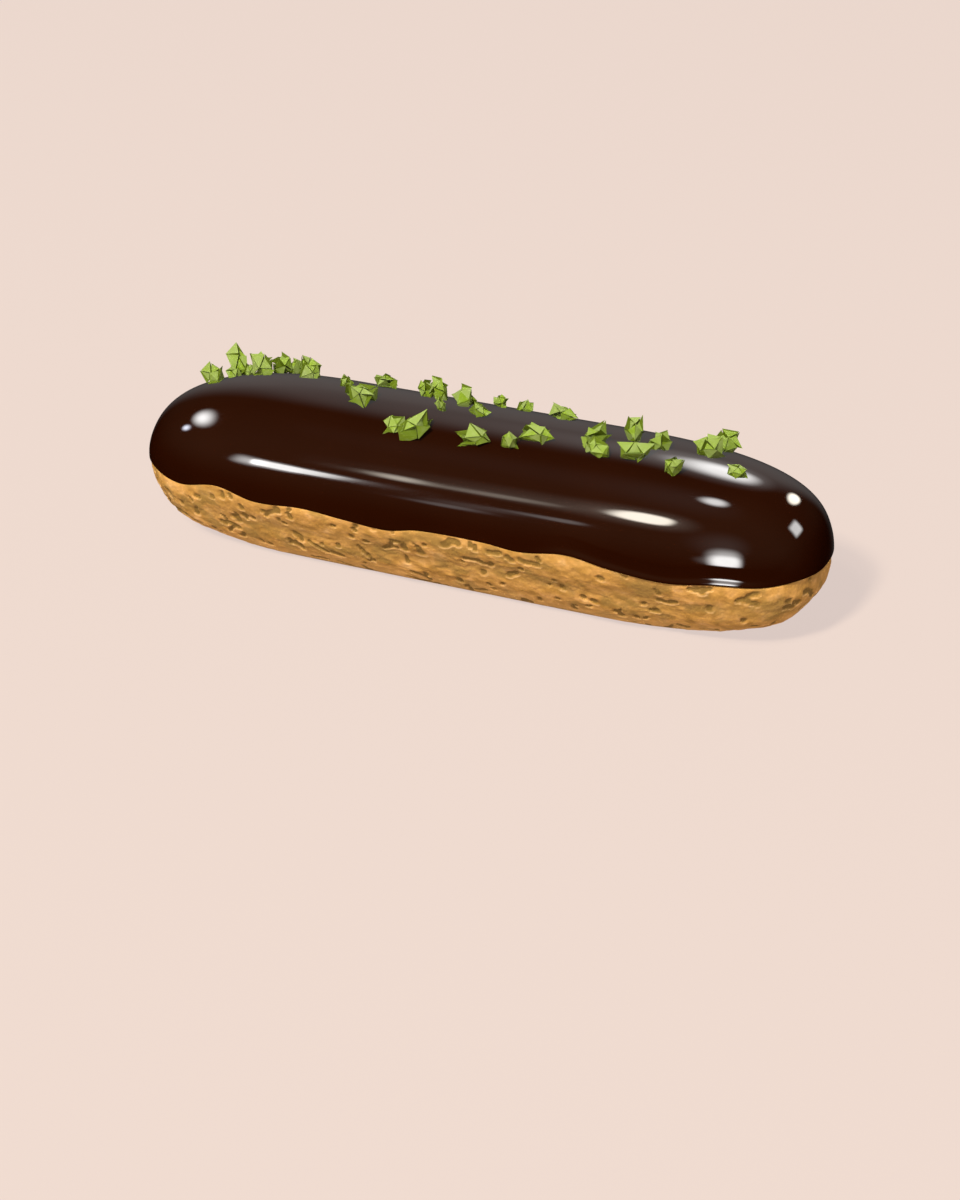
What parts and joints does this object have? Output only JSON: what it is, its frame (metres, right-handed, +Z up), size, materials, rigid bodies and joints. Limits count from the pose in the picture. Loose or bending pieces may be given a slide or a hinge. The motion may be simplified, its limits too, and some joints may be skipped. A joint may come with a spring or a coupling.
{
  "type": "chocolate eclair",
  "caption": "Baked choux pastry finger with a glossy dark chocolate glaze over its upper half and chopped green pistachios along the top.",
  "frame": {"origin": "centre of the bounding box at its lowest face, where the eclair rests on a flat surface", "axes": "+X along the length towards the right-hand end as seen from the front, -Y towards the front, +Z up"},
  "size_m": [0.1402, 0.0388, 0.0384],
  "materials": {
    "baked_choux": "matte baked crust, golden brown with small darker pits",
    "dark_glaze": "high gloss dark chocolate",
    "chopped_pistachio": "matte bright green nut, angular broken faces"
  },
  "bodies": {
    "root": {"choux_pastry": "baked_choux", "chocolate_glaze": "dark_glaze"}
  },
  "joints": []
}
